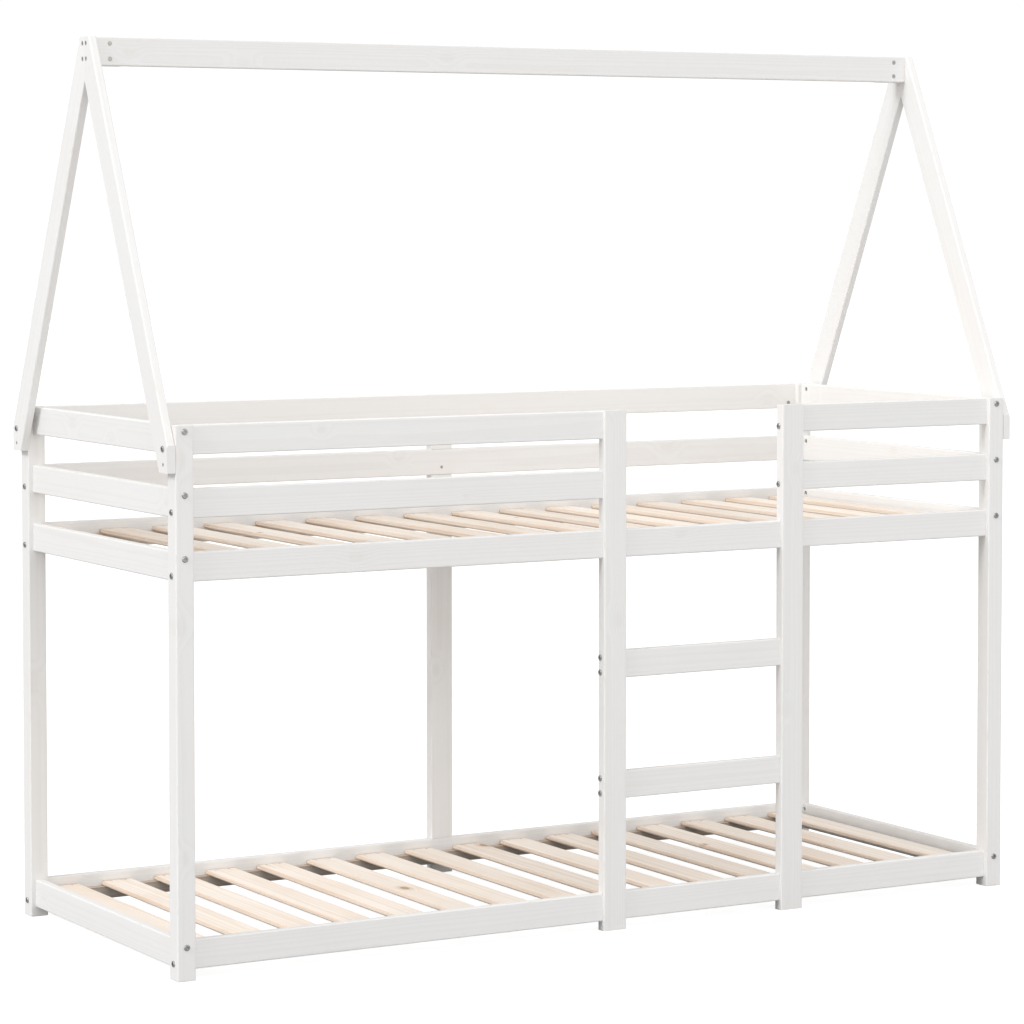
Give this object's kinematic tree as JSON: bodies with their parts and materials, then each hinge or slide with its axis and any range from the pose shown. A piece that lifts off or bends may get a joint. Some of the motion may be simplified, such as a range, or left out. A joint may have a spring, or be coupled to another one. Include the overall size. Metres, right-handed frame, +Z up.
{
  "type": "bunk bed with ladder",
  "caption": "Low wooden bunk bed with two slatted bases, guard boards, a fixed front ladder and an open house-shaped roof frame.",
  "frame": {"origin": "on the floor under the centre of the bed, which is the bottom centre of its bounding box", "axes": "+X along the bed's length to the right seen from the ladder side, +Y from the ladder side to the rear, +Z up"},
  "size_m": [2.096, 0.81, 1.8975],
  "materials": {
    "white_pine": "white painted planed pine, faint grain showing, satin",
    "natural_pine": "bare planed pine, fine grain, matt",
    "zinc_bolt": "bright zinc plated steel, smooth",
    "zinc_screw": "dull zinc plated steel"
  },
  "bodies": {
    "root": {"barrel_nuts": "zinc_bolt", "corner_post_front_left": "white_pine", "corner_post_front_right": "white_pine", "corner_post_rear_left": "white_pine", "corner_post_rear_right": "white_pine", "end_left_guard_mid": "white_pine", "end_left_guard_top": "white_pine", "end_left_lower": "white_pine", "end_left_upper": "white_pine", "end_right_guard_mid": "white_pine", "end_right_guard_top": "white_pine", "end_right_lower": "white_pine", "end_right_upper": "white_pine", "frame_bolts": "zinc_bolt", "frame_screws": "zinc_screw", "front_left_guard_mid": "white_pine", "front_left_guard_top": "white_pine", "front_right_guard_mid": "white_pine", "front_right_guard_top": "white_pine", "ladder_post_left": "white_pine", "ladder_post_right": "white_pine", "ladder_rung_lower": "white_pine", "ladder_rung_upper": "white_pine", "post_screws": "zinc_screw", "rafter_front_left": "white_pine", "rafter_front_right": "white_pine", "rafter_rear_left": "white_pine", "rafter_rear_right": "white_pine", "rail_front_lower": "white_pine", "rail_front_upper": "white_pine", "rail_rear_lower": "white_pine", "rail_rear_upper": "white_pine", "rear_guard_mid": "white_pine", "rear_guard_top": "white_pine", "rear_middle_post": "white_pine", "ridge_block_left": "white_pine", "ridge_block_right": "white_pine", "ridge_board": "white_pine", "slat_cleat_front_lower": "natural_pine", "slat_cleat_front_upper": "natural_pine", "slat_cleat_rear_lower": "natural_pine", "slat_cleat_rear_upper": "natural_pine", "slat_lower_01": "natural_pine", "slat_lower_02": "natural_pine", "slat_lower_03": "natural_pine", "slat_lower_04": "natural_pine", "slat_lower_05": "natural_pine", "slat_lower_06": "natural_pine", "slat_lower_07": "natural_pine", "slat_lower_08": "natural_pine", "slat_lower_09": "natural_pine", "slat_lower_10": "natural_pine", "slat_lower_11": "natural_pine", "slat_lower_12": "natural_pine", "slat_lower_13": "natural_pine", "slat_lower_14": "natural_pine", "slat_lower_15": "natural_pine", "slat_lower_16": "natural_pine", "slat_screws": "zinc_screw", "slats_upper": "natural_pine"}
  },
  "joints": []
}
